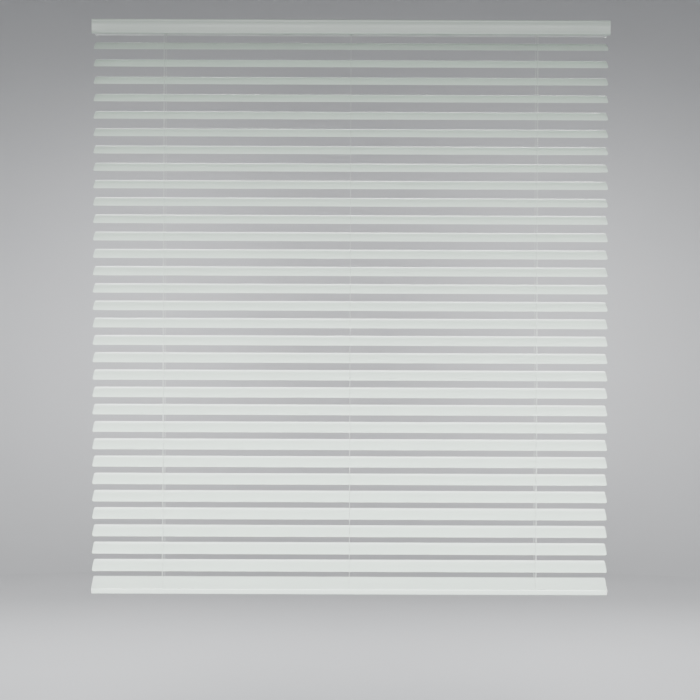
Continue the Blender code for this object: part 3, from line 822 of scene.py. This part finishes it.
def sheet_along_x(bm, path, length, closed=False):
    """A surface through the path (y, z), drawn out along X."""
    rows = []
    for column in range(SHEET_COLUMNS + 1):
        x = length * (column / SHEET_COLUMNS - 0.5)
        rows.append([bm.verts.new((x, y, z)) for y, z in path])
    for first, second in zip(rows, rows[1:]):
        join_rows(bm, first, second, closed)
    bmesh.ops.recalc_face_normals(bm, faces=bm.faces)


def thickened(name, bm, thickness, material, rim):
    """A surface given its thickness behind its face, with rounded rims."""
    surface = new_object(name + "_surface", bm, material)
    solid = surface.modifiers.new("thickness", "SOLIDIFY")
    solid.thickness = thickness
    solid.offset = -1.0
    solid.use_even_offset = True
    depsgraph = bpy.context.evaluated_depsgraph_get()
    thick = bmesh.new()
    thick.from_mesh(surface.evaluated_get(depsgraph).to_mesh())
    bpy.data.objects.remove(surface)
    round_edges(thick, rim, angle=60.0)
    return new_object(name, thick, material)


def rolled_line(face_y, height):
    """Points across a shallow groove in the fascia's face."""
    points = []
    for step in range(-ROLL_STEPS, ROLL_STEPS + 1):
        share = step / ROLL_STEPS
        depth = ROLL_DEPTH * (1.0 + math.cos(math.pi * share)) / 2
        points.append(Vector((face_y + depth, height + ROLL_WIDTH * share / 2)))
    return points


def make_fascia():
    """A shallow channel with rounded corners, its back open and two lines rolled into its face."""
    low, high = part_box("fascia")
    middle = (low.z + high.z) / 2
    path = rounded_path([(high.y, low.z), (low.y, low.z), (low.y, high.z), (high.y, high.z)], FASCIA_CORNER)
    half = len(path) // 2
    grooves = [point for line in ROLL_LINES for point in rolled_line(low.y, middle + line)]
    bm = bmesh.new()
    sheet_along_x(bm, path[:half] + grooves + path[half:], high.x - low.x)
    if sum(face.normal.y for face in bm.faces if abs(face.normal.y) > FACING) > 0:
        bmesh.ops.reverse_faces(bm, faces=bm.faces)
    strip = thickened("fascia_strip", bm, FASCIA_SHEET, FASCIA_SHADED_PAINT, FASCIA_RIM)
    declare(strip, "root", "fascia_paint", "fascia")


RAIL_STEPS = 18
RAIL_EDGE = 0.0016                      # radius of the rail's long edges
RAIL_RIM = 0.00025


def rail_outline():
    """The bottom rail's section: a crowned top, rounded edges and a narrower flat underside."""
    spots = [RAIL_CHORD * (i / RAIL_STEPS - 0.5) for i in range(RAIL_STEPS + 1)]
    corners = [(across, arc_height(across, RAIL_CHORD, RAIL_CROWN)) for across in spots]
    corners += [
        (RAIL_CHORD / 2, -RAIL_HEIGHT + RAIL_FOOT),
        (RAIL_CHORD / 2 - RAIL_FOOT, -RAIL_HEIGHT),
        (-RAIL_CHORD / 2 + RAIL_FOOT, -RAIL_HEIGHT),
        (-RAIL_CHORD / 2, -RAIL_HEIGHT + RAIL_FOOT),
    ]
    return rounded_path(corners, RAIL_EDGE, closed=True)


def make_bottom_rail():
    low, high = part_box("bottom_rail")
    path = [tilted(across, up, RAIL_AXIS) for across, up in rail_outline()]
    bm = bmesh.new()
    sheet_along_x(bm, [(point.y, point.z) for point in path], high.x - low.x, closed=True)
    if sum(face.normal.z for face in bm.faces if face.calc_center_median().z > RAIL_AXIS.z) < 0:
        bmesh.ops.reverse_faces(bm, faces=bm.faces)
    rail = thickened("bottom_rail_extrusion", bm, RAIL_WALL, RAIL_SHADED_PAINT, RAIL_RIM)
    declare(rail, "bottom_rail", "rail_paint", "bottom_rail")


BUTTON_GAP = 0.0001
BUTTON_PROFILE = [
    (0.0, 0.0005), (0.0062, 0.0005), (0.0066, 0.0), (0.0066, -0.0004), (0.0058, -0.0012),
    (0.0040, -0.0015), (0.0036, -0.0012), (0.0, -0.0011),
]


def make_rail_buttons():
    """A round plug under the rail at each ladder, which holds the ladder's cords in the rail."""
    rail_up = Matrix.Rotation(REST_TILT, 3, "X") @ UP
    for side, x in zip(SIDES, STATION_X):
        bm = bmesh.new()
        add_turned(bm, BUTTON_PROFILE, tilted(0.0, -RAIL_HEIGHT - BUTTON_GAP, RAIL_AXIS, x), rail_up, 40)
        declare(new_object(f"rail_button_{side}", bm, CAP_PLASTIC), "bottom_rail", "cap_plastic")


# ---------------------------------------------------------------- headrail, brackets and mechanism

SHEET_EDGE = 0.0002                     # how far the refined parts' edges are rounded
ROD_EDGE = 0.00025
MOULDED_EDGE = 0.0003
CAP_EDGE = 0.0004


def make_refined_parts():
    refined("headrail", "headrail_channel", "root", "headrail_paint", HEADRAIL_PAINT, SHEET_EDGE)
    for side in ("left", "right"):
        headrail_cap, rail_cap = f"headrail_end_cap_{side}", f"bottom_rail_cap_{side}"
        refined(headrail_cap, f"headrail_plug_{side}", "root", "cap_plastic", CAP_PLASTIC, CAP_EDGE)
        refined(rail_cap, f"bottom_rail_plug_{side}", "bottom_rail", "cap_plastic", CAP_PLASTIC, CAP_EDGE)
    for side in SIDES:
        refined(f"bracket_{side}", f"wall_bracket_{side}", "root", "zinc_steel", ZINC, SHEET_EDGE)
        drum, finer_drum = f"tilt_drum_{side}", f"cord_drum_{side}"
        refined(drum, finer_drum, "tilt_rod", "drum_plastic", DRUM_PLASTIC, MOULDED_EDGE)
    refined("tilt_rod", "hexagonal_rod", "tilt_rod", "rod_steel", ROD_STEEL, ROD_EDGE)
    refined("spring_motor_case", "spring_case", "root", "motor_plastic", MOTOR_PLASTIC, MOULDED_EDGE)
    refined("cord_spool", "lift_spool", "cord_spool", "drum_plastic", DRUM_PLASTIC, MOULDED_EDGE)


CRADLE_FLOOR = CHANNEL_LOW.z + CHANNEL_SHEET + 0.0002    # just over the channel's floor
CRADLE_GAP = 0.0008                     # drum to cheek
CRADLE_CHEEK = 0.0020
CRADLE_NOTCH = 0.0039                   # radius of the notch that holds the rod
CRADLE_TOP = 0.0030                     # above the rod's axis
CRADLE_SHOULDER = -0.0050
CRADLE_HALF = 0.0235                    # half of its depth
CRADLE_BAR = 0.0023                     # thickness of the bars
CRADLE_BAR_HEIGHT = 0.0040
CRADLE_BAR_BITE = 0.0002                # how far a bar runs into the cheeks


def cheek_outline():
    """A cheek's outline (y, z) about the rod's axis: foot, shoulders and the notch for the rod."""
    near = [
        (CRADLE_HALF, CRADLE_FLOOR - ROD_AXIS.z), (CRADLE_HALF, CRADLE_SHOULDER), (0.0150, CRADLE_SHOULDER),
        (0.0070, CRADLE_TOP), (CRADLE_NOTCH, CRADLE_TOP),
    ]
    turns = [math.radians(angle) for angle in range(0, -181, -15)]
    notch = [(CRADLE_NOTCH * math.cos(turn), CRADLE_NOTCH * math.sin(turn)) for turn in turns]
    return near + notch + [(-y, z) for y, z in reversed(near)]


def add_cheek(bm, x):
    """One upright plate of a cradle, from x along +X."""
    face = bm.faces.new([bm.verts.new((x, ROD_AXIS.y + y, ROD_AXIS.z + z)) for y, z in cheek_outline()])
    drawn = bmesh.ops.extrude_face_region(bm, geom=[face])["geom"]
    moved = [item for item in drawn if isinstance(item, bmesh.types.BMVert)]
    bmesh.ops.translate(bm, verts=moved, vec=(CRADLE_CHEEK, 0.0, 0.0))


def make_cradles():
    """A moulded cradle round each drum: two cheeks that carry the rod, joined by a bar along each side."""
    for side in SIDES:
        low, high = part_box(f"tilt_drum_{side}")
        bm = bmesh.new()
        add_cheek(bm, low.x - CRADLE_GAP - CRADLE_CHEEK)
        add_cheek(bm, high.x + CRADLE_GAP)
        reach = CRADLE_GAP + CRADLE_BAR_BITE
        for near in (-CRADLE_HALF, CRADLE_HALF - CRADLE_BAR):
            y = ROD_AXIS.y + near
            top = CRADLE_FLOOR + CRADLE_BAR_HEIGHT
            add_box(bm, (low.x - reach, y, CRADLE_FLOOR), (high.x + reach, y + CRADLE_BAR, top))
        bmesh.ops.recalc_face_normals(bm, faces=bm.faces)
        round_edges(bm, SHEET_EDGE, angle=50.0)
        declare(new_object(f"drum_cradle_{side}", bm, MOTOR_PLASTIC), "root", "motor_plastic")


CLIP_X = (-0.300, 0.180, 0.430)
CLIP_HALF = 0.008                       # half of its length along X
CLIP_REACH = 0.0152                     # its middle up or down to the fascia's return
CLIP_SHEET = 0.0007
CLIP_RIM = 0.0001
CLIP_GAP = 0.0002                       # fascia's back to clip
CLIP_BACK = 0.0012                      # the clip's front face to the channel


def make_fascia_clips():
    """Sprung clips between the fascia and the channel, hooked inside the fascia's two returns."""
    low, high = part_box("fascia")
    inner = low.y + FASCIA_SHEET + CLIP_GAP
    back = CHANNEL_LOW.y - CLIP_BACK
    upper = [
        (high.y - 0.0006, CLIP_REACH - 0.0008), (high.y - 0.0012, CLIP_REACH), (inner + 0.0006, CLIP_REACH),
        (inner, CLIP_REACH - 0.0010), (inner, 0.0060), (back, 0.0030),
    ]
    path = upper + [(y, -z) for y, z in reversed(upper)]
    for index, x in enumerate(CLIP_X, start=1):
        bm = bmesh.new()
        rows = [[bm.verts.new((x + way * CLIP_HALF, y, z)) for y, z in path] for way in (-1, 1)]
        join_rows(bm, *rows, closed=False)
        bmesh.ops.recalc_face_normals(bm, faces=bm.faces)
        if sum(face.normal.y for face in bm.faces) > 0:
            bmesh.ops.reverse_faces(bm, faces=bm.faces)
        clip = thickened(f"fascia_clip_{index}", bm, CLIP_SHEET, SPRING_STEEL, CLIP_RIM)
        declare(clip, "root", "zinc_steel")


SCREW_PROFILE = [
    (0.0, -0.0012), (0.0018, -0.0012), (0.0018, 0.0), (0.0034, 0.0), (0.0037, 0.0004),
    (0.0035, 0.0012), (0.0026, 0.0018), (0.0015, 0.0020), (0.0013, 0.0010), (0.0, 0.0008),
]
SCREW_ASIDE = 0.011                     # bracket's middle to each screw
SCREW_HEIGHT = -0.0040
PLATE_THICKNESS = 0.00135


def make_screws():
    """Two wall screws through each bracket's back plate."""
    for side in SIDES:
        low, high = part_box(f"bracket_{side}")
        middle = (low.x + high.x) / 2
        for index, way in enumerate((-1, 1), start=1):
            bm = bmesh.new()
            place = (middle + way * SCREW_ASIDE, high.y - PLATE_THICKNESS, SCREW_HEIGHT)
            add_turned(bm, SCREW_PROFILE, place, (0.0, -1.0, 0.0))
            declare(new_object(f"wall_screw_{side}_{index}", bm, ZINC), "root", "zinc_steel")


SPRING_TURNS = 11
SPRING_STEPS = 36                       # for each turn
SPRING_INNER = 0.0028
SPRING_OUTER = 0.0082
SPRING_STRIP = 0.00018
SPRING_X = MOTOR_HIGH.x - 0.0145
SPRING_LOW = MOTOR_LOW.z + 0.0020
SPRING_HIGH = MOTOR_HIGH.z - 0.0030
POST_PROFILE = [
    (0.0, SPRING_LOW), (0.0022, SPRING_LOW), (0.0022, SPRING_HIGH + 0.0006),
    (0.0018, SPRING_HIGH + 0.0010), (0.0, SPRING_HIGH + 0.0010),
]


def make_spring():
    """The coiled strip that balances the rail's weight, round its own post beside the spool."""
    centre = Vector((SPRING_X, SPOOL_Y, 0.0))
    steps = SPRING_TURNS * SPRING_STEPS
    rings = []
    for step in range(steps + 1):
        angle = 2 * math.pi * SPRING_TURNS * step / steps
        out = Vector((math.cos(angle), math.sin(angle), 0.0))
        near = SPRING_INNER + (SPRING_OUTER - SPRING_INNER) * step / steps
        far = near + SPRING_STRIP
        corners = ((near, SPRING_LOW), (far, SPRING_LOW), (far, SPRING_HIGH), (near, SPRING_HIGH))
        rings.append([centre + out * reach + UP * z for reach, z in corners])
    bm = bmesh.new()
    add_rings(bm, rings)
    add_turned(bm, POST_PROFILE, centre, steps=24)
    declare(new_object("balance_spring", bm, SPRING_STEEL), "root", "rod_steel")


SPOOL_TURNS = 6
SPOOL_STEPS = 24                        # for each turn
SPOOL_WINDING_RADIUS = 0.0075
SPOOL_CORD_RADIUS = 0.0006
SPOOL_FLANGE = 0.0035                   # spool's end to the nearest turn of cord


def make_spool_winding():
    """The turns of lift cord already on the spool."""
    low, high = SPOOL_LOW.z + SPOOL_FLANGE, SPOOL_HIGH.z - SPOOL_FLANGE
    steps = SPOOL_TURNS * SPOOL_STEPS
    route = []
    for step in range(steps + 1):
        angle = 2 * math.pi * SPOOL_TURNS * step / steps
        out = Vector((math.cos(angle), math.sin(angle), 0.0)) * SPOOL_WINDING_RADIUS
        route.append(Vector((SPOOL_X, SPOOL_Y, low + (high - low) * step / steps)) + out)
    winding = cord("spool_winding", route, SPOOL_CORD_RADIUS, spacing=0.0016, sides=6)
    declare(winding, "cord_spool", "cord_fibre")


# ---------------------------------------------------------------- stage

STAGE_FLOOR = CAD_LOW.z - 0.55
STAGE_RADIUS = 7.6
STAGE_BEND = 2.6
STAGE_TOP = 5.0
STAGE_STEPS = 96
STAGE_BEND_STEPS = 16
STAGE_FLAT = (0.02, 2.5, 5.0)           # radii of the flat floor's rings, the last where the bend begins


def make_stage():
    """A seamless floor that curves up into a wall all round."""
    profile = [(radius, STAGE_FLOOR) for radius in STAGE_FLAT]
    for step in range(STAGE_BEND_STEPS + 1):
        turn = math.pi / 2 * step / STAGE_BEND_STEPS
        radius = STAGE_RADIUS - STAGE_BEND + STAGE_BEND * math.sin(turn)
        profile.append((radius, STAGE_FLOOR + STAGE_BEND * (1.0 - math.cos(turn))))
    profile.append((STAGE_RADIUS, STAGE_TOP))
    bm = bmesh.new()
    rings = []
    for radius, z in profile:
        rings.append([bm.verts.new(point) for point in circle(radius, STAGE_STEPS, z)])
    bm.faces.new(rings[0])
    for first, second in zip(rings, rings[1:]):
        join_rows(bm, first, second)
    stage = new_object("seamless_background", bm, PAPER)


# ---------------------------------------------------------------- assembly


def main():
    make_camera()
    for side, x in zip(SIDES, STATION_X):
        for end in ENDS:
            make_ladder(end, side, x)
    for side, way in (("left", -1), ("right", 1)):
        make_lift_cord(side, way)
    make_cord_loops()
    make_drum_windings()
    chance = random.Random(31)
    for number in range(1, SLAT_COUNT + 1):
        make_slat(number, chance)
        make_rungs(number)
    make_fascia()
    make_bottom_rail()
    make_rail_buttons()
    make_refined_parts()
    make_cradles()
    make_fascia_clips()
    make_screws()
    make_spring()
    make_spool_winding()
    make_stage()
    make_lights()


main()
